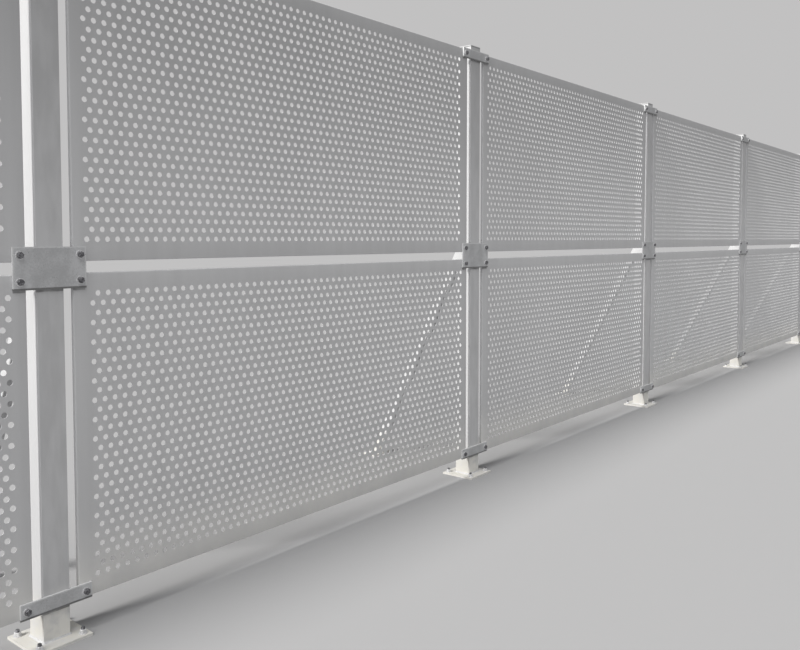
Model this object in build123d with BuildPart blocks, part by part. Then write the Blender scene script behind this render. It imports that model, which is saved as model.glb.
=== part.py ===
from build123d import *
import math
import os

# Perforated site hoarding: two rows of folded sheet panels bolted to stayed square posts.
# Millimetres. +X runs along the fence, -Y is the street side and +Z is up.
# The origin is on the ground, under the centre of the first post.

os.makedirs("parts", exist_ok=True)

# The run
bay_count = 5

# Folded panels: a flat front with four returns bent to the back
panel_length = 2000.0
panel_height = 960.0
panel_depth = 12.0
panel_sheet = 2.0
panel_bend = 2.0
corner_clearance = 1.0

# The panels' perforation, and the margins between it and a panel's edges
holes_in_row = 57
hole_rows = 30
hole_diameter = 16.7
field_side_margin = 48.0
field_end_margin = 52.0

# Slots that stand for the perforation: as much open area, and a bar between their rows
slot_columns = 12
slot_rows = 2
slot_bar = 60.0

# Gaps round the panels
ground_gap = 100.0
middle_gap = 34.0
side_gap = 28.0

# Posts, of square hollow section with a welded cap and base plate
post_size = 80.0
post_wall = 3.0
post_corner = 2.0
post_rise = 26.0
cap_thickness = 4.0
cap_clip = 2.0
base_plate_size = 170.0
base_plate_thickness = 8.0
anchor_pitch = 130.0
anchor_hole = 14.0

# Back stays, of a smaller square section, each on a foot plate of its own
stay_size = 40.0
stay_wall = 3.0
stay_corner = 5.0
stay_height = 1095.0
stay_reach = 550.0
stay_foot_width = 130.0
stay_foot_length = 80.0
stay_foot_thickness = 8.0
stay_anchor_pitch = 90.0
stay_anchor_hole = 14.0

# Tab plates, welded across the street face of each post, with the panels bolted behind their wings
tab_thickness = 6.0
tab_lip = 23.0
tab_wing_lip = 19.0
bolt_inset = 20.0
bolt_side_inset = 20.0
bolt_hole = 13.0

# Holes that this run's own fasteners fill have few sides, and only the open ones at its ends are round
filled_hole_sides = 6

# Places that follow from the sizes
bay_pitch = panel_length + 2 * side_gap + post_size
post_places = [number * bay_pitch for number in range(bay_count + 1)]
front = -post_size / 2
back = post_size / 2
lower_base = ground_gap
upper_base = lower_base + panel_height + middle_gap
panel_top = upper_base + panel_height
cap_base = panel_top + post_rise - cap_thickness
bolt_reach = post_size / 2 + side_gap + bolt_side_inset
tab_width = 2 * (bolt_reach + tab_wing_lip)


def save(piece, name):
    """Labels a finished piece and writes it under its node's name."""
    piece.part.label = name
    export_step(piece.part, f"parts/{name}.step")


def drill(diameter, filled):
    """Cuts a hole from the sketch at each current location."""
    if filled:
        RegularPolygon(diameter / 2, filled_hole_sides, major_radius=False, mode=Mode.SUBTRACT)
    else:
        Circle(diameter / 2, mode=Mode.SUBTRACT)


def between(x):
    """True for a post with a bay on each side."""
    return x not in (post_places[0], post_places[-1])


def square_tube(size, wall, corner):
    """A square hollow section with rounded outer corners and a plain square bore."""
    RectangleRounded(size, size, corner)
    Rectangle(size - 2 * wall, size - 2 * wall, mode=Mode.SUBTRACT)


def street_plane(x, z):
    """A sketch plane on the panels' street face, drawn as seen from the street."""
    return Plane(origin=(x, front, z), x_dir=(1, 0, 0), z_dir=(0, -1, 0))


# Posts: rounded square tubes between the base plates and the caps
for number, x in enumerate(post_places, start=1):
    with BuildPart() as post:
        with BuildSketch(Plane((x, 0, base_plate_thickness))):
            square_tube(post_size, post_wall, post_corner)
        extrude(amount=cap_base - base_plate_thickness)
    save(post, f"post_{number}")

# Post caps: flat plates as wide as the tube, with clipped corners
with BuildPart() as caps:
    for x in post_places:
        with BuildSketch(Plane((x, 0, cap_base))) as cap:
            Rectangle(post_size, post_size)
            chamfer(cap.vertices(), cap_clip)
        extrude(amount=cap_thickness)
save(caps, "post_caps")

# Base plates, each with four anchor holes round its post
for number, x in enumerate(post_places, start=1):
    with BuildPart() as base_plate:
        with BuildSketch(Plane((x, 0, 0))):
            Rectangle(base_plate_size, base_plate_size)
            with GridLocations(anchor_pitch, anchor_pitch, 2, 2):
                drill(anchor_hole, filled=between(x))
        extrude(amount=base_plate_thickness)
    save(base_plate, f"base_plate_{number}")

# Back stays: square tubes, cut flat at the post's back face and at the foot plate
stay_fall = stay_height - stay_foot_thickness
stay_run = math.hypot(stay_reach, stay_fall)
for number, x in enumerate(post_places, start=1):
    stay_head = Plane(origin=(x, back, stay_height), x_dir=(1, 0, 0), z_dir=(0, stay_reach, -stay_fall))
    with BuildPart() as stay:
        with BuildSketch(stay_head):
            square_tube(stay_size, stay_wall, stay_corner)
        extrude(amount=2 * stay_run, both=True)
        split(bisect_by=Plane(origin=(x, back, 0), z_dir=(0, 1, 0)), keep=Keep.TOP)
        split(bisect_by=Plane((x, 0, stay_foot_thickness)), keep=Keep.TOP)
    save(stay, f"back_stay_{number}")

# Stay feet: small plates with an anchor hole on each side of the stay
for number, x in enumerate(post_places, start=1):
    with BuildPart() as stay_foot:
        with BuildSketch(Plane((x, back + stay_reach, 0))):
            Rectangle(stay_foot_width, stay_foot_length)
            with GridLocations(stay_anchor_pitch, 0, 2, 1):
                drill(stay_anchor_hole, filled=between(x))
        extrude(amount=stay_foot_thickness)
    save(stay_foot, f"stay_foot_{number}")


# Each slot's size, from the field that the perforation covers
field_length = panel_length - 2 * field_side_margin
field_height = panel_height - 2 * field_end_margin
open_area = holes_in_row * hole_rows * math.pi * hole_diameter**2 / 4
slot_height = (field_height - (slot_rows - 1) * slot_bar) / slot_rows
slot_width = open_area / (slot_columns * slot_rows * slot_height)


def folded_panel(x, base):
    """A slotted tray folded from one sheet, with notched corners and a bolt hole in each of them."""
    face = street_plane(x, base + panel_height / 2)
    # One flat stands for each round bend and touches it at its middle
    bend_flat = (panel_bend + panel_sheet) * (2 - math.sqrt(2))
    notch = panel_bend + panel_sheet + corner_clearance
    with BuildPart() as panel:
        with BuildSketch(face):
            Rectangle(panel_length, panel_height)
        extrude(amount=-panel_depth)
        chamfer(panel.faces().sort_by(Axis.Y)[0].edges(), bend_flat)
        offset(amount=-panel_sheet, openings=panel.faces().sort_by(Axis.Y)[-1])
        with BuildSketch(face):
            Rectangle(panel_length, panel_height)
            with GridLocations(panel_length - notch, panel_height - notch, 2, 2):
                Rectangle(notch, notch, mode=Mode.SUBTRACT)
            with GridLocations(panel_length - 2 * bolt_side_inset, panel_height - 2 * bolt_inset, 2, 2):
                drill(bolt_hole, filled=True)
            with GridLocations(field_length / slot_columns, slot_height + slot_bar, slot_columns, slot_rows):
                Rectangle(slot_width, slot_height, mode=Mode.SUBTRACT)
        extrude(amount=-panel_depth, mode=Mode.INTERSECT)
    return panel


for number, x in enumerate(post_places[:-1], start=1):
    bay_centre = x + bay_pitch / 2
    save(folded_panel(bay_centre, lower_base), f"lower_panel_{number}")
    save(folded_panel(bay_centre, upper_base), f"upper_panel_{number}")

# Tab plates: each level's bolt rows and the height of its plates between their lips
levels = {
    "bottom_tabs": (lower_base + bolt_inset, 0),
    "middle_tabs": (lower_base + panel_height + middle_gap / 2, middle_gap + 2 * bolt_inset),
    "top_tabs": (panel_top - bolt_inset, 0),
}
for name, (height, row_pitch) in levels.items():
    rows = 2 if row_pitch else 1
    with BuildPart() as tabs:
        for x in post_places:
            with BuildSketch(street_plane(x, height)):
                Rectangle(tab_width, row_pitch + 2 * tab_lip)
                for wing, last_post in ((-bolt_reach, post_places[0]), (bolt_reach, post_places[-1])):
                    with Locations((wing, 0)):
                        with GridLocations(0, row_pitch, 1, rows):
                            drill(bolt_hole, filled=x != last_post)
            extrude(amount=tab_thickness)
    save(tabs, name)
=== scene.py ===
import math
import random

import bmesh
import bpy
from bpy.props import FloatProperty, FloatVectorProperty, IntProperty, PointerProperty
from mathutils import Matrix, Vector


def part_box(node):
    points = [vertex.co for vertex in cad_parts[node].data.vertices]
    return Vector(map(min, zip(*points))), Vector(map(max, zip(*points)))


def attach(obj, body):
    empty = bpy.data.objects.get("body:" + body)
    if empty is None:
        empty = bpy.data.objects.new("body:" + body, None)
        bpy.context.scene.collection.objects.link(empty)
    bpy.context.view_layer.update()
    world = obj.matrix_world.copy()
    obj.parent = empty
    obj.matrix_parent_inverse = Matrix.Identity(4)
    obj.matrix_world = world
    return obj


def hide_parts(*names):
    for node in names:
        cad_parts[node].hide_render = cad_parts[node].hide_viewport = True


bl_info = {
    "name": "Perforated Hoarding",
    "version": (1, 0, 0),
    "blender": (4, 5, 0),
    "location": "3D View > Sidebar > Hoarding",
    "description": "Perforated sheets, fasteners, welds and finishes on the frame of a site hoarding",
    "category": "Object",
}

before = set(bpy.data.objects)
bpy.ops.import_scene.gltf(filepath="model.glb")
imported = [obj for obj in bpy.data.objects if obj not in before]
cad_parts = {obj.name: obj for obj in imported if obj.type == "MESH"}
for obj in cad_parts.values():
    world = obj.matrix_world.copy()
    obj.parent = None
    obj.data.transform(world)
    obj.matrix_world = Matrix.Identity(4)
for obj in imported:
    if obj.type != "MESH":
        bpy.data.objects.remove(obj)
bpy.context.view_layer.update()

# Places that the frame gives
POST_BOXES = [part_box(name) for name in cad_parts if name.startswith("post_") and name != "post_caps"]
POST_PLACES = sorted((low.x + high.x) / 2 for low, high in POST_BOXES)
POST_HALF = (POST_BOXES[0][1].x - POST_BOXES[0][0].x) / 2
BAY_PITCH = POST_PLACES[1] - POST_PLACES[0]
TAB_LEVELS = ("bottom", "middle", "top")

# Turns what stands up so that it points to the street
UP_TO_STREET = Matrix.Rotation(math.radians(90), 4, "X")

# Edges that turn further than these angles stay sharp
SHARP_ON_SHEETS = math.radians(40)
SHARP_ON_FASTENERS = math.radians(32)
SHARP_ON_WELDS = math.radians(60)

# Facets round washers, threads and beads, and on each corner of a fillet weld
WASHER_SIDES = 20
THREAD_SIDES = 12
BEAD_SIDES = 8
FILLET_CORNER_STEPS = 4

# Points of neighbouring rows of holes that are closer than this are one
MERGE_GAP = 0.0001

# Grain of sprayed paint
GRAIN_SCALE = 420.0
GRAIN_DEPTH = 0.00012


class HoardingSheetSizes(bpy.types.PropertyGroup):
    """The punched and folded sheets"""

    hole_pitch: FloatProperty(
        name="Hole pitch", description="From hole to hole along a row; rows are staggered at 60 degrees",
        default=0.0334, min=0.005, unit="LENGTH", precision=4)
    hole_diameter: FloatProperty(
        name="Hole diameter", description="Width of a punched hole",
        default=0.0167, min=0.002, unit="LENGTH", precision=4)
    hole_sides: IntProperty(
        name="Hole sides", description="Number of flats round a hole", default=10, min=6, max=32)
    holes_in_row: IntProperty(
        name="Holes in a row", description="Holes along each row", default=57, min=2)
    row_count: IntProperty(
        name="Rows", description="Rows of holes up a sheet", default=30, min=2)
    upper_start: FloatProperty(
        name="Upper side margin",
        description="From an upper sheet's left edge to the first hole's centre",
        default=0.046, unit="LENGTH", precision=4)
    lower_start: FloatProperty(
        name="Lower side margin",
        description="From a lower sheet's left edge to the first hole's centre",
        default=0.062, unit="LENGTH", precision=4)
    upper_sill: FloatProperty(
        name="Upper bottom margin",
        description="From an upper sheet's bottom edge to the first row's centres",
        default=0.064, unit="LENGTH", precision=4)
    lower_sill: FloatProperty(
        name="Lower bottom margin",
        description="From a lower sheet's bottom edge to the first row's centres",
        default=0.060, unit="LENGTH", precision=4)
    thickness: FloatProperty(
        name="Sheet thickness", description="Thickness of the folded sheet",
        default=0.002, min=0.0005, unit="LENGTH", precision=4)
    bend_radius: FloatProperty(
        name="Bend radius", description="Outside radius where the returns are folded back",
        default=0.004, min=0.001, unit="LENGTH", precision=4)
    bend_steps: IntProperty(
        name="Bend steps", description="Facets round a bend", default=4, min=1)
    corner_clearance: FloatProperty(
        name="Corner clearance", description="Gap cut past the bends at each corner",
        default=0.001, min=0.0, unit="LENGTH", precision=4)


class HoardingFastenerSizes(bpy.types.PropertyGroup):
    """Panel bolts and ground anchors"""

    thread: FloatProperty(
        name="Thread diameter", description="Diameter of bolts and anchors",
        default=0.012, unit="LENGTH", precision=4)
    thread_pitch: FloatProperty(
        name="Thread pitch", description="From thread to thread",
        default=0.00175, unit="LENGTH", precision=5)
    thread_depth: FloatProperty(
        name="Thread depth", description="Depth of the thread",
        default=0.0009, unit="LENGTH", precision=5)
    head_width: FloatProperty(
        name="Width across flats", description="Of heads and nuts",
        default=0.017, unit="LENGTH", precision=4)
    head_height: FloatProperty(
        name="Head height", description="Height of a bolt head",
        default=0.0075, unit="LENGTH", precision=4)
    nut_height: FloatProperty(
        name="Nut height", description="Height of a nut", default=0.010, unit="LENGTH", precision=4)
    hex_bevel: FloatProperty(
        name="Corner chamfer", description="Chamfer on heads and nuts",
        default=0.0012, unit="LENGTH", precision=5)
    washer: FloatProperty(
        name="Washer diameter", description="Outside diameter of a washer",
        default=0.024, unit="LENGTH", precision=4)
    washer_thickness: FloatProperty(
        name="Washer thickness", description="Thickness of a washer",
        default=0.0025, unit="LENGTH", precision=5)
    bolt_end: FloatProperty(
        name="Bolt end", description="Thread that shows past a panel bolt's nut",
        default=0.005, unit="LENGTH", precision=4)
    anchor_end: FloatProperty(
        name="Anchor end", description="Thread that shows past an anchor's nut",
        default=0.007, unit="LENGTH", precision=4)
    bolt_hole: FloatProperty(
        name="Bolt hole", description="Diameter of the sheets' bolt holes",
        default=0.013, unit="LENGTH", precision=4)
    side_inset: FloatProperty(
        name="Side inset", description="From a sheet's side edge to its bolts",
        default=0.020, unit="LENGTH", precision=4)
    end_inset: FloatProperty(
        name="End inset", description="From a sheet's top or bottom edge to its bolts",
        default=0.020, unit="LENGTH", precision=4)
    anchor_inset: FloatProperty(
        name="Anchor inset", description="From a ground plate's edge to its anchors",
        default=0.020, unit="LENGTH", precision=4)
    seed: IntProperty(name="Seed", description="Chooses how far each bolt was turned", default=12)


class HoardingWeldSizes(bpy.types.PropertyGroup):
    """Welds"""

    leg: FloatProperty(
        name="Weld leg", description="Width and height of a fillet weld",
        default=0.005, min=0.001, unit="LENGTH", precision=4)
    ripple: FloatProperty(
        name="Ripple length", description="Length of one ripple along a weld",
        default=0.006, min=0.002, unit="LENGTH", precision=4)
    unevenness: FloatProperty(
        name="Unevenness", description="How far a weld's crown wanders",
        default=0.0005, min=0.0, unit="LENGTH", precision=5)
    overlap: FloatProperty(
        name="Overlap", description="How far a weld has run into the metal under it",
        default=0.0003, min=0.0, unit="LENGTH", precision=5)
    post_corner: FloatProperty(
        name="Post corner", description="Corner radius of the posts",
        default=0.002, unit="LENGTH", precision=4)
    stay_corner: FloatProperty(
        name="Stay corner", description="Corner radius of the stays",
        default=0.005, unit="LENGTH", precision=4)
    stay_height: FloatProperty(
        name="Stay height", description="Where a stay's axis meets its post's back face",
        default=1.095, unit="LENGTH", precision=4)
    seed: IntProperty(name="Seed", description="Chooses how the welds wander", default=5)


class HoardingColours(bpy.types.PropertyGroup):
    """Paints and metals"""

    panel_paint: FloatVectorProperty(
        name="Sheet paint", description="Powder coat of the sheets",
        default=(0.56, 0.562, 0.57), subtype="COLOR", min=0.0, max=1.0)
    post_paint: FloatVectorProperty(
        name="Post paint", description="Paint of posts, stays and ground plates",
        default=(0.56, 0.562, 0.57), subtype="COLOR", min=0.0, max=1.0)
    tab_paint: FloatVectorProperty(
        name="Tab paint", description="Thin paint of the tab plates",
        default=(0.48, 0.485, 0.495), subtype="COLOR", min=0.0, max=1.0)
    worn_edge: FloatVectorProperty(
        name="Worn edge", description="Bare zinc along the tab plates' edges",
        default=(0.66, 0.665, 0.67), subtype="COLOR", min=0.0, max=1.0)
    bolt_zinc: FloatVectorProperty(
        name="Bolt zinc", description="Weathered zinc of heads, nuts and threads",
        default=(0.17, 0.17, 0.18), subtype="COLOR", min=0.0, max=1.0)
    washer_zinc: FloatVectorProperty(
        name="Washer zinc", description="Newer zinc of the washers",
        default=(0.70, 0.70, 0.71), subtype="COLOR", min=0.0, max=1.0)
    # Dark colour of the cap seam and dark spots, also used for painted shadow under the tab plates and
    # painted shade towards the top
    grime_and_shade: FloatVectorProperty(
        name="Grime", description="Dirt along seams, under the tab plates and towards the top",
        default=(0.10, 0.10, 0.10), subtype="COLOR", min=0.0, max=1.0)
    dust: FloatVectorProperty(
        name="Dust", description="Road dust on ledges and sides near the ground",
        default=(0.60, 0.585, 0.54), subtype="COLOR", min=0.0, max=1.0)
    # Paler dust for fronts and backs near the ground, partly a painted light bounced from the floor
    splash: FloatVectorProperty(
        name="Splashed dust", description="Pale dust splashed on fronts and backs near the ground",
        default=(0.84, 0.825, 0.78), subtype="COLOR", min=0.0, max=1.0)


class HoardingStageSettings(bpy.types.PropertyGroup):
    """Floor, light and camera"""

    camera_place: FloatVectorProperty(
        name="Camera place", description="Where the camera stands", default=(0.9904, -2.2471, 1.1611),
        subtype="TRANSLATION", unit="LENGTH")
    camera_heading: FloatProperty(
        name="Heading", description="Turn to the right of the square view", default=math.radians(50.81),
        subtype="ANGLE", unit="ROTATION")
    camera_pitch: FloatProperty(
        name="Pitch", description="Tilt above the horizon", default=math.radians(-2.75),
        subtype="ANGLE", unit="ROTATION")
    lens: FloatProperty(
        name="Lens", description="Focal length on a 36 mm sensor", default=36.48, unit="CAMERA")
    image_shift: FloatProperty(
        name="Image shift", description="Upward shift, as a share of the picture's width", default=-0.06)
    floor_reach: FloatProperty(
        name="Floor reach", description="Half the side of the floor", default=400.0, unit="LENGTH")
    floor_colour: FloatVectorProperty(
        name="Floor", description="Colour of the floor", default=(0.335, 0.335, 0.34), subtype="COLOR",
        min=0.0, max=1.0)
    fill: FloatProperty(
        name="Fill", description="Strength of the even light from all round", default=0.32)
    key: FloatProperty(
        name="Key", description="Strength of the soft key light", default=4.55)
    key_colour: FloatVectorProperty(
        name="Key colour", description="Colour of the key light",
        default=(1.0, 0.985, 0.96), subtype="COLOR", min=0.0, max=1.0)
    key_softness: FloatProperty(
        name="Key softness", description="Width of the key light as seen from the object",
        default=math.radians(12), subtype="ANGLE", unit="ROTATION")
    key_side: FloatVectorProperty(
        name="Key side", description="Direction from the object to the key light",
        default=(-0.80, 0.06, 0.60), subtype="DIRECTION")
    street_fill: FloatProperty(
        name="Street fill", description="Strength of the broad light from above the street side",
        default=1.5)
    street_fill_colour: FloatVectorProperty(
        name="Street fill colour", description="Colour of the broad light", default=(1.0, 1.0, 1.0),
        subtype="COLOR", min=0.0, max=1.0)
    street_fill_softness: FloatProperty(
        name="Street fill softness", description="Width of the broad light as seen from the object",
        default=math.radians(40), subtype="ANGLE", unit="ROTATION")
    street_fill_side: FloatVectorProperty(
        name="Street fill side", description="Direction from the object to the broad light",
        default=(-0.42, -0.24, 0.87), subtype="DIRECTION")


class Wire:
    """A socket in a node tree, with arithmetic that adds Math nodes"""

    def __init__(self, tree, socket=None):
        self.tree = tree
        self.socket = socket

    def node(self, kind, inputs=None, settings=None, output=None):
        """Adds a node, sets it, fills or links its sockets by identifier and gives one output"""
        made = self.tree.nodes.new(kind)
        for name, value in (settings or {}).items():
            setattr(made, name, value)
        sockets = {socket.identifier: socket for socket in made.inputs}
        for name, value in (inputs or {}).items():
            if isinstance(value, Wire):
                self.tree.links.new(value.socket, sockets[name])
            else:
                sockets[name].default_value = value
        outputs = {socket.identifier: socket for socket in made.outputs}
        return Wire(self.tree, outputs[output] if output else made.outputs[0] if made.outputs else None)

    def math(self, operation, *others):
        values = zip(("Value", "Value_001", "Value_002"), (self, *others))
        return self.node("ShaderNodeMath", dict(values), {"operation": operation})

    def __add__(self, other):
        return self.math("ADD", other)

    def __radd__(self, other):
        return self.math("ADD", other)

    def __sub__(self, other):
        return self.math("SUBTRACT", other)

    def __rsub__(self, other):
        values = {"Value": other, "Value_001": self}
        return self.node("ShaderNodeMath", values, {"operation": "SUBTRACT"})

    def __mul__(self, other):
        return self.math("MULTIPLY", other)

    def __rmul__(self, other):
        return self.math("MULTIPLY", other)

    def __abs__(self):
        return self.math("ABSOLUTE")

    def smallest(self, other):
        return self.math("MINIMUM", other)

    def largest(self, other):
        return self.math("MAXIMUM", other)

    def rise(self, start, end):
        """0 below start, 1 above end and a smooth rise between them"""
        values = {"Value": self, "From Min": start, "From Max": end}
        return self.node("ShaderNodeMapRange", values, {"interpolation_type": "SMOOTHSTEP"})

    def scaled(self, x, y, z):
        """A vector scaled along each axis"""
        return self.node("ShaderNodeMapping", {"Vector": self, "Scale": (x, y, z)})

    def noise(self, scale, detail=2.0):
        """Noise about 0.5 at the place that this vector gives"""
        return self.node("ShaderNodeTexNoise", {"Vector": self, "Scale": scale, "Detail": detail})

    def part(self, axis):
        """One of a vector's three numbers"""
        return self.node("ShaderNodeSeparateXYZ", {"Vector": self}, output=axis)

    def tint(self, low, high):
        """Goes from one colour to another as this value goes from 0 to 1"""
        values = {"Factor_Float": self}
        for name, colour in (("A_Color", low), ("B_Color", high)):
            values[name] = colour if isinstance(colour, Wire) else (*colour, 1.0)
        return self.node("ShaderNodeMix", values, {"data_type": "RGBA"}, "Result_Color")

    def shaded(self, colour, dark, pale):
        """Goes from a darker to a paler shade of one colour as this value goes from 0 to 1"""
        return self.tint(shade_of(colour, dark), shade_of(colour, pale))


def new_finish(name):
    """An empty material and the object coordinates in it"""
    material = bpy.data.materials.new(name)
    material.use_nodes = True
    material.node_tree.nodes.clear()
    return material, Wire(material.node_tree).node("ShaderNodeTexCoord", output="Object")


def cover(place, colour, roughness, height, depth, metallic=0.0):
    """Ends a material: its colour, its gloss and a relief of some depth"""
    relief = place.node("ShaderNodeBump", {"Height": height, "Distance": depth})
    shader = place.node("ShaderNodeBsdfPrincipled", {
        "Base Color": colour, "Roughness": roughness, "Normal": relief, "Metallic": metallic})
    place.node("ShaderNodeOutputMaterial", {"Surface": shader})


def shade_of(colour, factor):
    """A colour made darker or lighter by one factor"""
    return tuple(channel * factor for channel in colour)


def post_distance(place):
    """How far a point lies along the run from the nearest post's centre"""
    half = BAY_PITCH / 2
    return (place.part("X") - POST_PLACES[0]).math("WRAP", half, -half)


def facing(place, axis):
    """How squarely a surface looks along an axis, either way"""
    return abs(place.node("ShaderNodeNewGeometry", output="True Normal").part(axis))


def broad_side(place):
    """1 on fronts and backs, 0 on sides, tops, bends and the rims of holes"""
    return facing(place, "Y").rise(0.4, 0.95)


def under_dust_and_bounce(place, paint, dust_and_bounce, colours):
    """Paint under dust; on fronts and backs the dust is paler, partly as painted light bounced from the
    floor
    """
    return dust_and_bounce.tint(paint, broad_side(place).tint(colours.dust, colours.splash))


def upper_painted_shade(place):
    """Painted shade on fronts and backs, darker towards the top: 0 up to the middle tab plates, 1 at the
    top of the posts
    """
    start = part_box("middle_tabs")[1].z
    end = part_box("post_caps")[1].z
    return place.part("Z").rise(start, end) * broad_side(place)


def shadow_under_tabs(place):
    """1 in a thin line on the street side just below each tab plate: a painted shadow under the plates"""
    low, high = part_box("middle_tabs")
    beside = POST_PLACES[0] - low.x
    below, solid, faded = 0.003, 0.0025, 0.0050
    uneven = place.part("Z") + place.noise(45.0, 3.0) * 0.004 - 0.002
    line = 0
    for level in TAB_LEVELS:
        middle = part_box(level + "_tabs")[0].z - below
        line = (1 - abs(uneven - middle).rise(solid, faded)) + line
    behind = (place.part("Y") - high.y).rise(0.0005, 0.0030)
    past_ends = abs(post_distance(place)).rise(beside - 0.003, beside + 0.001)
    patches = place.noise(24.0).rise(0.35, 0.6) * 0.4 + 0.6
    return line * (1 - past_ends.largest(behind)) * patches


def shared_painted_shade(place):
    """The painted shade that sheets and posts have in common: a shadow under the tab plates and shade
    towards the top
    """
    return (shadow_under_tabs(place) * 0.75).largest(upper_painted_shade(place) * 0.28)


def sheet_finish(colours):
    """Satin powder coat, paler on bends, returns and hole rims as a painted highlight, with faint runs,
    dust along the bottom that is paler on fronts and backs as painted light bounced from the floor, and
    painted shade under the tab plates and towards the top
    """
    material, place = new_finish("sheet_powder_coat")
    clouds = place.noise(1.7, 3.0)
    runs = place.scaled(26.0, 26.0, 1.2).noise(1.0, 3.0)
    grain = place.noise(GRAIN_SCALE, 1.0)
    tone = clouds * 0.5 + runs * 0.5
    paint = tone.rise(0.3, 0.7).shaded(colours.panel_paint, 0.95, 1.04)
    patches = place.noise(9.0, 4.0).rise(0.2, 0.75) * 0.22 + 0.3
    # Dust near the bottom, which on fronts and backs also carries painted light bounced from the floor
    dust_and_bounce = (1 - place.part("Z").rise(0.10, 0.36)) * patches
    # Bends, returns and hole rims are painted paler: a painted highlight where the edges catch the light
    turned = 1 - broad_side(place)
    dusted = under_dust_and_bounce(place, turned.tint(paint, shade_of(colours.panel_paint, 1.12)), dust_and_bounce, colours)
    # Painted shadow under the tab plates and painted shade towards the top
    colour = shared_painted_shade(place).tint(dusted, colours.grime_and_shade)
    cover(place, colour, 0.46 + runs * 0.12 + dust_and_bounce * 0.5, grain, GRAIN_DEPTH)
    return material


def post_finish(colours):
    """The posts' paint, smeared on fronts and backs, with the sides held at an even pale shade as painted
    light, dust at the foot that is paler on fronts and backs as painted light bounced from the floor,
    soiling in the cap seam, and painted shade under the tab plates and towards the top
    """
    material, place = new_finish("post_paint")
    clouds = place.noise(3.1, 3.0)
    smears = place.scaled(34.0, 34.0, 9.0).noise(1.0, 4.0)
    grain = place.noise(GRAIN_SCALE, 1.0)
    # Smears only on fronts and backs; the sides stay at the pale end of the paint, painted light so that
    # lit sides read evenly bright
    tone = (clouds * 0.3 + smears * 0.7).rise(0.32, 0.68).largest(facing(place, "X") * 0.8)
    paint = tone.shaded(colours.post_paint, 0.88, 1.01)
    # Dust at the foot, which on fronts and backs also carries painted light bounced from the floor
    dust_and_bounce = (1 - place.part("Z").rise(0.06, 0.18)) * place.noise(22.0, 4.0).rise(0.15, 0.6) * 0.85
    seam = 1 - abs(place.part("Z") - (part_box("post_caps")[0].z - 0.001)).rise(0.001, 0.003)
    # The cap seam's dark line, with painted shadow under the tab plates and painted shade towards the top
    seam_dirt_and_shade = (seam * 0.8).largest(shared_painted_shade(place))
    colour = seam_dirt_and_shade.tint(under_dust_and_bounce(place, paint, dust_and_bounce, colours), colours.grime_and_shade)
    cover(place, colour, 0.42 + smears * 0.16 + dust_and_bounce * 0.5, grain, GRAIN_DEPTH)
    return material


def tab_finish(node, colours):
    """Thin paint over zinc, paler on the wings, worn along its edges, with dark spots, a painted shadow
    along the lower edge and painted shade towards the top
    """
    material, place = new_finish(node + "_thin_paint")
    low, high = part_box(node)
    from_post = abs(post_distance(place))
    from_low = place.part("Z") - low.z
    from_end = POST_PLACES[0] - low.x - from_post
    from_edge = from_end.smallest(from_low).smallest(high.z - place.part("Z"))
    worn = 1 - (from_edge + place.noise(140.0, 3.0) * 0.006).rise(0.0045, 0.0080)
    spots = place.noise(330.0, 1.0).rise(0.66, 0.74) * place.noise(17.0, 1.0).rise(0.4, 0.6) * 0.7
    # A painted shadow along the lower edge, with dark spots
    low_edge_shadow_and_spots = (1 - (from_low + place.noise(90.0, 3.0) * 0.002).rise(0.0055, 0.0075)).largest(spots)
    clouds = place.noise(26.0, 4.0)
    specks = place.noise(190.0, 3.0)
    mottle = clouds * 0.5 + specks * 0.35 + from_post.rise(POST_HALF, POST_HALF + 0.04) * 0.15
    paint = mottle.rise(0.33, 0.67).shaded(colours.tab_paint, 0.88, 1.16)
    # Painted shadow along the lower edge and dark spots, with painted shade towards the top
    shade_and_spots = (low_edge_shadow_and_spots * 0.85).largest(upper_painted_shade(place) * 0.13)
    colour = shade_and_spots.tint((worn * 0.85).tint(paint, colours.worn_edge), colours.grime_and_shade)
    cover(place, colour, 0.5 + clouds * 0.14 - worn * 0.1, specks, 0.0003)
    return material


def zinc_finish(name, zinc, metallic, spread):
    """Dull zinc, darker where it has weathered, by a share of its colour"""
    material, place = new_finish(name)
    patches = place.noise(210.0, 4.0)
    colour = patches.rise(0.42, 0.60).shaded(zinc, 1 - spread, 1 + spread)
    cover(place, colour, 0.38 + patches * 0.3, patches, 0.0003, metallic)
    return material


def weld_finish(colours):
    """Painted weld metal with ripples"""
    material, place = new_finish("painted_weld")
    ripples = place.noise(260.0, 2.0)
    colour = ripples.rise(0.3, 0.7).shaded(colours.post_paint, 0.86, 1.05)
    cover(place, colour, 0.45 + ripples * 0.15, ripples, 0.0009)
    return material


def parts_of(geometry, kind):
    """The vertices, edges or faces in a list of geometry"""
    return [item for item in geometry if isinstance(item, kind)]


def all_of(bm):
    """All that a bmesh holds"""
    return bm.verts[:] + bm.edges[:] + bm.faces[:]


def repeat(bm, geometry, step, count):
    """Copies geometry until there are count of it, each one step further"""
    for number in range(1, count):
        made = bmesh.ops.duplicate(bm, geom=geometry)["geom"]
        bmesh.ops.translate(bm, verts=parts_of(made, bmesh.types.BMVert), vec=step * number)


def upright(x, z, width, height):
    """Stretches a flat shape, stands it up to face the street and moves it to a point of a sheet"""
    return Matrix.Translation((x, 0, z)) @ UP_TO_STREET @ Matrix.Diagonal((width, height, 1, 1))


def unit_square(bm, matrix, across=1):
    """Adds a square with sides of 1, divided across, where a matrix puts it, and gives its vertices"""
    return bmesh.ops.create_grid(bm, x_segments=across, y_segments=1, size=0.5, matrix=matrix)["verts"]


def edges_where(bm, test):
    """Edges whose ends both pass a test"""
    return [edge for edge in bm.edges if all(test(vert.co) for vert in edge.verts)]


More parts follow.
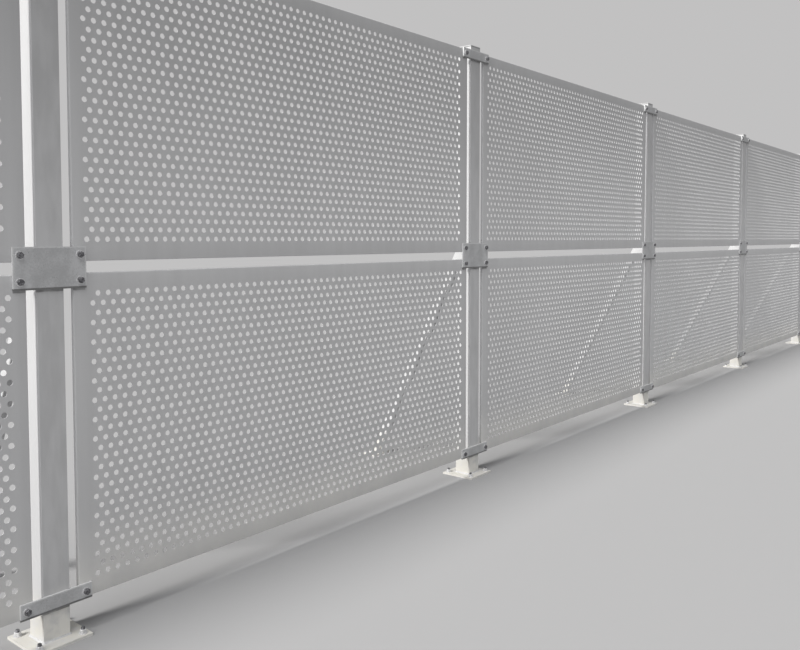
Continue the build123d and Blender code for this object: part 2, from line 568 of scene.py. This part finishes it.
def punched_cell(bm, sizes, row_pitch):
    """One hole, of the true area, in a rectangle with divided long sides, so that staggered rows join"""
    unit_square(bm, upright(0, 0, sizes.hole_pitch, row_pitch), across=2)
    bmesh.ops.dissolve_faces(bm, faces=bm.faces[:])
    bmesh.ops.delete(bm, geom=bm.faces[:], context="FACES_ONLY")
    turn = 2 * math.pi / sizes.hole_sides
    corner_radius = sizes.hole_diameter / 2 * math.sqrt(turn / math.sin(turn))
    bmesh.ops.create_circle(bm, segments=sizes.hole_sides, radius=corner_radius, matrix=UP_TO_STREET)
    bmesh.ops.triangle_fill(bm, use_beauty=True, edges=bm.edges[:], normal=(0, -1, 0))


def punched_field(bm, sizes):
    """All the rows of a sheet, from the first row's left end, with half cells where a row ends short"""
    row_pitch = sizes.hole_pitch * math.sqrt(0.75)
    half = sizes.hole_pitch / 2
    punched_cell(bm, sizes, row_pitch)
    repeat(bm, all_of(bm), Vector((sizes.hole_pitch, 0, 0)), sizes.holes_in_row)
    first_row = all_of(bm)
    second_row = bmesh.ops.duplicate(bm, geom=first_row)["geom"]
    second_verts = parts_of(second_row, bmesh.types.BMVert)
    bmesh.ops.translate(bm, verts=second_verts, vec=(half, 0, row_pitch))
    row_end = (sizes.holes_in_row - 0.5) * sizes.hole_pitch
    for x, z in ((row_end + half / 2, 0), (-half / 2, row_pitch)):
        unit_square(bm, upright(x, z, half, row_pitch))
    repeat(bm, all_of(bm), Vector((0, 0, 2 * row_pitch)), sizes.row_count // 2)
    bmesh.ops.remove_doubles(bm, verts=bm.verts[:], dist=MERGE_GAP)


def fold(bm, edges, centre, axis, angle, steps, depth):
    """Bends a return back from some edges and carries it on straight"""
    geometry = edges + list({vert for edge in edges for vert in edge.verts})
    bent = bmesh.ops.spin(bm, geom=geometry, cent=centre, axis=axis, angle=angle, steps=steps)
    bent_edges = parts_of(bent["geom_last"], bmesh.types.BMEdge)
    straight = bmesh.ops.extrude_edge_only(bm, edges=bent_edges)["geom"]
    bmesh.ops.translate(bm, verts=parts_of(straight, bmesh.types.BMVert), vec=(0, depth, 0))


def smooth_below(bm, angle):
    """Shades the surface smoothly, apart from edges sharper than an angle"""
    for face in bm.faces:
        face.smooth = True
    for edge in bm.edges:
        edge.smooth = edge.is_manifold and edge.calc_face_angle() < angle


def field_rim(bm, tiny):
    """The edges round the whole punched field, without those round its holes"""
    low = Vector(tuple(min(vert.co[axis] for vert in bm.verts) for axis in range(3)))
    high = Vector(tuple(max(vert.co[axis] for vert in bm.verts) for axis in range(3)))
    return [edge for edge in bm.edges if edge.is_boundary and any(
        all(abs(vert.co[axis] - end[axis]) < tiny for vert in edge.verts)
        for axis in (0, 2) for end in (low, high))]


def sheet_outline(bm, sizes, width, height, tiny):
    """The edges round a sheet's flat face, which ends at the bends and has notched corners"""
    field_faces = set(bm.faces)
    bend = sizes.bend_radius
    notch = bend + sizes.corner_clearance
    made = unit_square(bm, upright(width / 2, height / 2, width - 2 * bend, height - 2 * bend))
    plate = list(made[0].link_faces)
    for point, normal in (
            ((notch, 0, 0), (1, 0, 0)), ((width - notch, 0, 0), (1, 0, 0)),
            ((0, 0, notch), (0, 0, 1)), ((0, 0, height - notch), (0, 0, 1))):
        pieces = plate + list({edge for face in plate for edge in face.edges})
        pieces += list({vert for face in plate for vert in face.verts})
        bmesh.ops.bisect_plane(bm, geom=pieces, dist=tiny, plane_co=point, plane_no=normal)
        plate = [face for face in bm.faces if face not in field_faces]
    corners = [face for face in plate if all(
        min(abs(face.calc_center_median()[axis] - end) for end in (0, size)) < notch
        for axis, size in ((0, width), (2, height)))]
    bmesh.ops.delete(bm, geom=corners, context="FACES")
    plate = [face for face in bm.faces if face not in field_faces]
    outline = bmesh.ops.dissolve_faces(bm, faces=plate)["region"]
    edges = [edge for face in outline for edge in face.edges]
    bmesh.ops.delete(bm, geom=outline, context="FACES_ONLY")
    return edges


def bolt_hole_rings(bm, sizes, bolts, width, height):
    """The edges round a sheet's four bolt holes"""
    edges = []
    for x in (bolts.side_inset, width - bolts.side_inset):
        for z in (bolts.end_inset, height - bolts.end_inset):
            ring = bmesh.ops.create_circle(
                bm, segments=sizes.hole_sides, radius=bolts.bolt_hole / 2,
                matrix=upright(x, z, 1, 1))["verts"]
            edges += list({edge for vert in ring for edge in vert.link_edges})
    return edges


def folded_sheet(sizes, bolts, width, height, depth, start, sill):
    """A whole sheet with its lower left corner at the origin: field, margins, bolt holes and returns"""
    bm = bmesh.new()
    punched_field(bm, sizes)
    bmesh.ops.translate(bm, verts=bm.verts[:], vec=(start, 0, sill))
    tiny = sizes.corner_clearance / 4
    edges = field_rim(bm, tiny)
    edges += sheet_outline(bm, sizes, width, height, tiny)
    edges += bolt_hole_rings(bm, sizes, bolts, width, height)
    bmesh.ops.triangle_fill(bm, use_beauty=True, edges=edges, normal=(0, -1, 0))
    bend = sizes.bend_radius
    straight = depth - bend
    quarter = math.pi / 2
    for x, angle in ((bend, -quarter), (width - bend, quarter)):
        side = edges_where(bm, lambda place, x=x: abs(place.x - x) < tiny and place.y < tiny)
        fold(bm, side, (x, bend, 0), (0, 0, 1), angle, sizes.bend_steps, straight)
    for z, angle in ((bend, quarter), (height - bend, -quarter)):
        side = edges_where(bm, lambda place, z=z: abs(place.z - z) < tiny and place.y < tiny)
        fold(bm, side, (0, bend, z), (1, 0, 0), angle, sizes.bend_steps, straight)
    bmesh.ops.recalc_face_normals(bm, faces=bm.faces[:])
    if sum(face.normal.y * face.calc_area() for face in bm.faces) > 0:
        bmesh.ops.reverse_faces(bm, faces=bm.faces[:])
    bmesh.ops.solidify(bm, geom=bm.faces[:], thickness=sizes.thickness)
    smooth_below(bm, SHARP_ON_SHEETS)
    return bm


def to_mesh(bm, name):
    """Ends a bmesh as a mesh"""
    mesh = bpy.data.meshes.new(name)
    bm.to_mesh(mesh)
    bm.free()
    return mesh


def add_piece(name, mesh, slot, *finishes):
    """Adds a finished mesh as a piece of the object"""
    piece = bpy.data.objects.new(name, mesh)
    bpy.context.scene.collection.objects.link(piece)
    for finish in finishes:
        mesh.materials.append(finish)
    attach(piece, "root")
    return piece


def join(bm, part, matrix):
    """Adds one finished shape to a larger one, in its place"""
    mesh = to_mesh(part, "part")
    mesh.transform(matrix)
    bm.from_mesh(mesh)
    bpy.data.meshes.remove(mesh)


def washer(bm, sizes, low):
    """A flat washer, standing on a height, with the second finish"""
    radius = sizes.washer / 2
    made = bmesh.ops.create_cone(
        bm, cap_ends=True, segments=WASHER_SIDES, radius1=radius, radius2=radius,
        depth=sizes.washer_thickness,
        matrix=Matrix.Translation((0, 0, low + sizes.washer_thickness / 2)))["verts"]
    for face in {face for vert in made for face in vert.link_faces}:
        face.material_index = 1


def hexagon(bm, sizes, low, height, turn, finish=0):
    """A head or a nut, standing on a height, with chamfered rims"""
    radius = sizes.head_width / 2 / math.cos(math.pi / 6)
    place = Matrix.Translation((0, 0, low + height / 2)) @ Matrix.Rotation(turn, 4, "Z")
    made = bmesh.ops.create_cone(
        bm, cap_ends=True, segments=6, radius1=radius, radius2=radius, depth=height, matrix=place)["verts"]
    rims = {edge for vert in made for edge in vert.link_edges
            if abs(edge.verts[0].co.z - edge.verts[1].co.z) < height / 2}
    for face in {face for vert in made for face in vert.link_faces}:
        face.material_index = finish
    bmesh.ops.bevel(
        bm, geom=list(rims), offset=sizes.hex_bevel, affect="EDGES", segments=1, profile=0.5, material=-1)


def rod(sizes, low, thread_start, high):
    """A bolt's shank, threaded from one height to its end"""
    bm = bmesh.new()
    radius = sizes.thread / 2
    root = radius - sizes.thread_depth
    outline = [(0, low), (radius, low)]
    for number in range(int((high - thread_start) / sizes.thread_pitch)):
        crest = thread_start + number * sizes.thread_pitch
        outline += [(radius, crest), (root, crest + sizes.thread_pitch / 2)]
    outline += [(root, high), (0, high)]
    verts = [bm.verts.new((x, 0, z)) for x, z in outline]
    edges = [bm.edges.new(pair) for pair in zip(verts, verts[1:])]
    bmesh.ops.spin(
        bm, geom=verts + edges, axis=(0, 0, 1), angle=2 * math.pi, steps=THREAD_SIDES, use_merge=True)
    bmesh.ops.remove_doubles(bm, verts=bm.verts[:], dist=sizes.thread_depth / 10)
    bmesh.ops.recalc_face_normals(bm, faces=bm.faces[:])
    return bm


def panel_bolt(sizes, grip, chance):
    """A bolt with its head above the origin, and its nut and second washer under what it grips"""
    nut_end = grip + sizes.washer_thickness + sizes.nut_height
    bm = rod(sizes, -sizes.washer_thickness, nut_end, nut_end + sizes.bolt_end)
    bmesh.ops.rotate(bm, verts=bm.verts[:], matrix=Matrix.Rotation(math.pi, 3, "X"))
    washer(bm, sizes, 0)
    hexagon(bm, sizes, sizes.washer_thickness, sizes.head_height, chance.uniform(0, math.pi))
    washer(bm, sizes, -grip - sizes.washer_thickness)
    hexagon(bm, sizes, -nut_end, sizes.nut_height, chance.uniform(0, math.pi))
    return bm


def ground_anchor(sizes, plate, chance):
    """An anchor that comes up through a ground plate, with its washer and nut of newer zinc"""
    nut_end = plate + sizes.washer_thickness + sizes.nut_height
    bm = rod(sizes, 0, nut_end, nut_end + sizes.anchor_end)
    washer(bm, sizes, plate)
    turn = chance.uniform(0, math.pi)
    hexagon(bm, sizes, plate + sizes.washer_thickness, sizes.nut_height, turn, finish=1)
    return bm


def fillet(sizes, width, length, corner, chance):
    """A fillet weld round a tube that stands on a plate, with its middle at the origin"""
    bm = bmesh.new()
    leg = sizes.leg
    sunk = sizes.overlap
    spread = Matrix.Diagonal((width + 2 * leg, length + 2 * leg, 1, 1))
    made = unit_square(bm, Matrix.Translation((0, 0, -sunk)) @ spread)
    bmesh.ops.bevel(
        bm, geom=made, offset=corner + leg, affect="VERTICES", segments=FILLET_CORNER_STEPS,
        profile=0.5, material=-1)
    sides = [edge for edge in bm.edges if edge.calc_length() > corner + leg]
    for side in sides:
        bmesh.ops.subdivide_edges(bm, edges=[side], cuts=round(side.calc_length() / sizes.ripple))
    middle = bm.faces[:]
    # How far the weld's round face goes in and up at each step, as shares of the leg
    rounding = ((0.45, 0.7), (0.55, 0.3))
    for inward, upward in rounding:
        bmesh.ops.inset_region(
            bm, faces=middle, thickness=inward * (leg + sunk), depth=upward * leg, use_even_offset=True,
            use_boundary=True)
    bmesh.ops.delete(bm, geom=middle, context="FACES_ONLY")
    wall = [edge for edge in bm.edges if edge.is_boundary and edge.verts[0].co.z > leg / 2]
    root = bmesh.ops.extrude_edge_only(bm, edges=wall)["geom"]
    bmesh.ops.translate(bm, verts=parts_of(root, bmesh.types.BMVert), vec=(0, 0, -leg))
    bmesh.ops.bridge_loops(bm, edges=[edge for edge in bm.edges if edge.is_boundary])
    crown = [vert for vert in bm.verts if leg / 2 < vert.co.z < leg * 0.8]
    for vert in crown:
        vert.co += vert.normal * chance.uniform(-sizes.unevenness, sizes.unevenness)
    bmesh.ops.recalc_face_normals(bm, faces=bm.faces[:])
    return bm


def bead(sizes, height, chance):
    """A straight weld up from the origin, with a ripple at each step"""
    bm = bmesh.new()
    radius = sizes.leg * 0.6
    bmesh.ops.create_cone(
        bm, cap_ends=True, segments=BEAD_SIDES, radius1=radius, radius2=radius, depth=height,
        matrix=Matrix.Translation((0, 0, height / 2)))
    along = [edge for edge in bm.edges if abs(edge.verts[0].co.z - edge.verts[1].co.z) > radius]
    bmesh.ops.subdivide_edges(bm, edges=along, cuts=round(height / sizes.ripple), use_grid_fill=True)
    for vert in bm.verts:
        out = Vector((vert.co.x, vert.co.y, 0)).normalized()
        vert.co += out * chance.uniform(-sizes.unevenness, sizes.unevenness)
    return bm


def bolt_places(level, sizes):
    """Where the bolts of one row of tab plates go, and how deep the sheet's face lies at each"""
    tab_low, tab_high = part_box(level + "_tabs")
    for low, high in (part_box(name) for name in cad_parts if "_panel_" in name):
        for z in (low.z + sizes.end_inset, high.z - sizes.end_inset):
            if tab_low.z < z < tab_high.z:
                for x in (low.x + sizes.side_inset, high.x - sizes.side_inset):
                    yield Vector((x, tab_low.y, z)), low.y - tab_low.y


class HOARDING_OT_fasteners(bpy.types.Operator):
    """Adds the bolts that hold the sheets to the tabs, and the anchors between the ends of the run"""

    bl_idname = "hoarding.fasteners"
    bl_label = "Bolts and Anchors"
    bl_options = {"REGISTER", "UNDO"}

    def execute(self, context):
        sizes = context.scene.hoarding_fasteners
        sheet_thickness = context.scene.hoarding_sheets.thickness
        chance = random.Random(sizes.seed)
        colours = context.scene.hoarding_colours
        finishes = (
            zinc_finish("weathered_zinc", colours.bolt_zinc, 0.75, 0.4),
            zinc_finish("washer_zinc", colours.washer_zinc, 0.4, 0.12))
        for level in TAB_LEVELS:
            bm = bmesh.new()
            for place, deep in bolt_places(level, sizes):
                bolt = panel_bolt(sizes, deep + sheet_thickness, chance)
                join(bm, bolt, Matrix.Translation(place) @ UP_TO_STREET)
            smooth_below(bm, SHARP_ON_FASTENERS)
            add_piece(level + "_panel_bolts", to_mesh(bm, level + "_panel_bolts"), "bolt_zinc", *finishes)
        inset = sizes.anchor_inset
        for kind, rows in (("base_plate_", 2), ("stay_foot_", 1)):
            plates = sorted(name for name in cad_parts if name.startswith(kind))[1:-1]
            bm = bmesh.new()
            for low, high in (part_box(name) for name in plates):
                across = (low.y + inset, high.y - inset) if rows == 2 else ((low.y + high.y) / 2,)
                for x in (low.x + inset, high.x - inset):
                    for y in across:
                        join(bm, ground_anchor(sizes, high.z, chance), Matrix.Translation((x, y, 0)))
            smooth_below(bm, SHARP_ON_FASTENERS)
            add_piece(kind + "anchors", to_mesh(bm, kind + "anchors"), "bolt_zinc", *finishes)
        return {"FINISHED"}


class HOARDING_OT_welds(bpy.types.Operator):
    """Adds the welds at the foot of each post, round each stay's ends and beside the tabs"""

    bl_idname = "hoarding.welds"
    bl_label = "Welds"
    bl_options = {"REGISTER", "UNDO"}

    def execute(self, context):
        sizes = context.scene.hoarding_welds
        chance = random.Random(sizes.seed)
        finish = weld_finish(context.scene.hoarding_colours)
        bases = bmesh.new()
        stays = bmesh.new()
        tabs = bmesh.new()
        for number, x in enumerate(POST_PLACES, start=1):
            low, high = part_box(f"post_{number}")
            weld = fillet(sizes, high.x - low.x, high.y - low.y, sizes.post_corner, chance)
            join(bases, weld, Matrix.Translation((x, 0, low.z)))
            stay_low, stay_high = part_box(f"back_stay_{number}")
            foot_low, foot_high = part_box(f"stay_foot_{number}")
            foot = (foot_low.y + foot_high.y) / 2
            width = stay_high.x - stay_low.x
            run = foot - high.y
            fall = sizes.stay_height - foot_high.z
            slope = math.hypot(run, fall)
            weld = fillet(sizes, width, width * slope / fall, sizes.stay_corner, chance)
            join(stays, weld, Matrix.Translation((x, foot, foot_high.z)))
            weld = fillet(sizes, width, width * slope / run, sizes.stay_corner, chance)
            join(stays, weld, Matrix.Translation((x, high.y, sizes.stay_height)) @ UP_TO_STREET.inverted())
            for level in TAB_LEVELS:
                tab_low, tab_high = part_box(level + "_tabs")
                for side in (-POST_HALF + sizes.leg / 4, POST_HALF - sizes.leg / 4):
                    place = Vector((x + side, low.y + sizes.leg / 3, tab_low.z))
                    join(tabs, bead(sizes, tab_high.z - tab_low.z, chance), Matrix.Translation(place))
        for name, bm in (("base_welds", bases), ("stay_welds", stays), ("tab_welds", tabs)):
            smooth_below(bm, SHARP_ON_WELDS)
            add_piece(name, to_mesh(bm, name), "post_paint", finish)
        return {"FINISHED"}


class HOARDING_OT_sheets(bpy.types.Operator):
    """Adds the punched and folded sheets in place of the plain ones"""

    bl_idname = "hoarding.sheets"
    bl_label = "Perforated Sheets"
    bl_options = {"REGISTER", "UNDO"}

    def execute(self, context):
        sizes = context.scene.hoarding_sheets
        bolts = context.scene.hoarding_fasteners
        finish = sheet_finish(context.scene.hoarding_colours)
        for level, start, sill in (("lower", sizes.lower_start, sizes.lower_sill),
                                   ("upper", sizes.upper_start, sizes.upper_sill)):
            nodes = sorted(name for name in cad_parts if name.startswith(level + "_panel_"))
            low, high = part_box(nodes[0])
            size = high - low
            bm = folded_sheet(sizes, bolts, size.x, size.z, size.y, start, sill)
            pattern = to_mesh(bm, level + "_sheet")
            for node in nodes:
                mesh = pattern.copy()
                mesh.transform(Matrix.Translation(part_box(node)[0]))
                sheet = add_piece("perforated_" + node, mesh, "panel_paint", finish)
                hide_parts(node)
        return {"FINISHED"}


class HOARDING_OT_finishes(bpy.types.Operator):
    """Paints the frame's own nodes"""

    bl_idname = "hoarding.finishes"
    bl_label = "Frame Finishes"
    bl_options = {"REGISTER", "UNDO"}

    def execute(self, context):
        colours = context.scene.hoarding_colours
        paint = post_finish(colours)
        for name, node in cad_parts.items():
            finish = tab_finish(name, colours) if name.endswith("_tabs") else paint
            node.data.materials.clear()
            node.data.materials.append(finish)
        return {"FINISHED"}


def add_lamps(stage):
    """Adds the lamps and gives the light that falls on the open floor, with the fill"""
    lamps = (
        ("key", stage.key, stage.key_colour, stage.key_softness, stage.key_side),
        ("street_fill", stage.street_fill, stage.street_fill_colour, stage.street_fill_softness,
         stage.street_fill_side))
    on_floor = Vector((stage.fill, stage.fill, stage.fill))
    for name, strength, colour, softness, direction in lamps:
        side = Vector(direction).normalized()
        on_floor += Vector(colour) * strength * side.z / math.pi
        light = bpy.data.lights.new(name, "SUN")
        light.energy = strength
        light.color = colour
        light.angle = softness
        lamp = bpy.data.objects.new(name, light)
        lamp.rotation_euler = side.to_track_quat("Z", "Y").to_euler()
        bpy.context.scene.collection.objects.link(lamp)
    return on_floor


def add_floor(stage):
    """Adds the plain floor"""
    bm = bmesh.new()
    bmesh.ops.create_grid(bm, x_segments=1, y_segments=1, size=stage.floor_reach)
    floor = bpy.data.objects.new("floor", to_mesh(bm, "floor"))
    bpy.context.scene.collection.objects.link(floor)
    material, place = new_finish("studio_floor")
    shader = place.node("ShaderNodeBsdfDiffuse", {"Color": (*stage.floor_colour, 1.0)})
    place.node("ShaderNodeOutputMaterial", {"Surface": shader})
    floor.data.materials.append(material)


def add_backdrop(stage, lit_floor):
    """Adds a world that gives the fill and is seen in the lit floor's colour"""
    world = bpy.data.worlds.new("studio")
    world.use_nodes = True
    world.node_tree.nodes.clear()
    air = Wire(world.node_tree)
    seen = air.node("ShaderNodeLightPath", output="Is Camera Ray")
    for ray in ("Is Glossy Ray", "Is Transmission Ray"):
        seen = seen.largest(air.node("ShaderNodeLightPath", output=ray))
    even = air.node("ShaderNodeBackground", {"Color": (1.0, 1.0, 1.0, 1.0), "Strength": stage.fill})
    pale = air.node("ShaderNodeBackground", {"Color": (*lit_floor, 1.0), "Strength": 1.0})
    both = air.node("ShaderNodeMixShader", {"Fac": seen, "Shader": even, "Shader_001": pale})
    air.node("ShaderNodeOutputWorld", {"Surface": both})
    bpy.context.scene.world = world


def add_camera(stage):
    """Adds the camera at the photograph's viewing angle"""
    eye = bpy.data.cameras.new("camera")
    eye.lens = stage.lens
    eye.shift_y = stage.image_shift
    eye.clip_end = 2 * stage.floor_reach
    camera = bpy.data.objects.new("camera", eye)
    camera.location = stage.camera_place
    camera.rotation_euler = (math.pi / 2 + stage.camera_pitch, 0, -stage.camera_heading)
    bpy.context.scene.collection.objects.link(camera)
    bpy.context.scene.camera = camera


class HOARDING_OT_stage(bpy.types.Operator):
    """Adds the floor, the light and the camera"""

    bl_idname = "hoarding.stage"
    bl_label = "Studio"
    bl_options = {"REGISTER", "UNDO"}

    def execute(self, context):
        stage = context.scene.hoarding_stage
        on_floor = add_lamps(stage)
        add_floor(stage)
        add_backdrop(stage, Vector(stage.floor_colour) * on_floor)
        add_camera(stage)
        context.scene.view_settings.view_transform = "Standard"
        return {"FINISHED"}


class HOARDING_PT_tools(bpy.types.Panel):
    """Lists the steps and their sizes"""

    bl_idname = "HOARDING_PT_tools"
    bl_label = "Hoarding"
    bl_space_type = "VIEW_3D"
    bl_region_type = "UI"
    bl_category = "Hoarding"

    def draw(self, context):
        for operator in OPERATORS:
            self.layout.operator(operator.bl_idname)
        for name, group in GROUPS.items():
            box = self.layout.box()
            box.label(text=group.__doc__)
            for field in group.__annotations__:
                box.prop(getattr(context.scene, name), field)


GROUPS = {
    "hoarding_sheets": HoardingSheetSizes,
    "hoarding_fasteners": HoardingFastenerSizes,
    "hoarding_welds": HoardingWeldSizes,
    "hoarding_colours": HoardingColours,
    "hoarding_stage": HoardingStageSettings,
}
OPERATORS = (
    HOARDING_OT_stage, HOARDING_OT_finishes, HOARDING_OT_sheets, HOARDING_OT_fasteners, HOARDING_OT_welds)


def register():
    for made in (*GROUPS.values(), *OPERATORS, HOARDING_PT_tools):
        bpy.utils.register_class(made)
    for name, group in GROUPS.items():
        setattr(bpy.types.Scene, name, PointerProperty(type=group))


def unregister():
    for name in GROUPS:
        delattr(bpy.types.Scene, name)
    for made in reversed((*GROUPS.values(), *OPERATORS, HOARDING_PT_tools)):
        bpy.utils.unregister_class(made)


def main():
    register()
    bpy.ops.hoarding.stage()
    bpy.ops.hoarding.finishes()
    bpy.ops.hoarding.sheets()
    bpy.ops.hoarding.fasteners()
    bpy.ops.hoarding.welds()


if __name__ == "__main__":
    main()
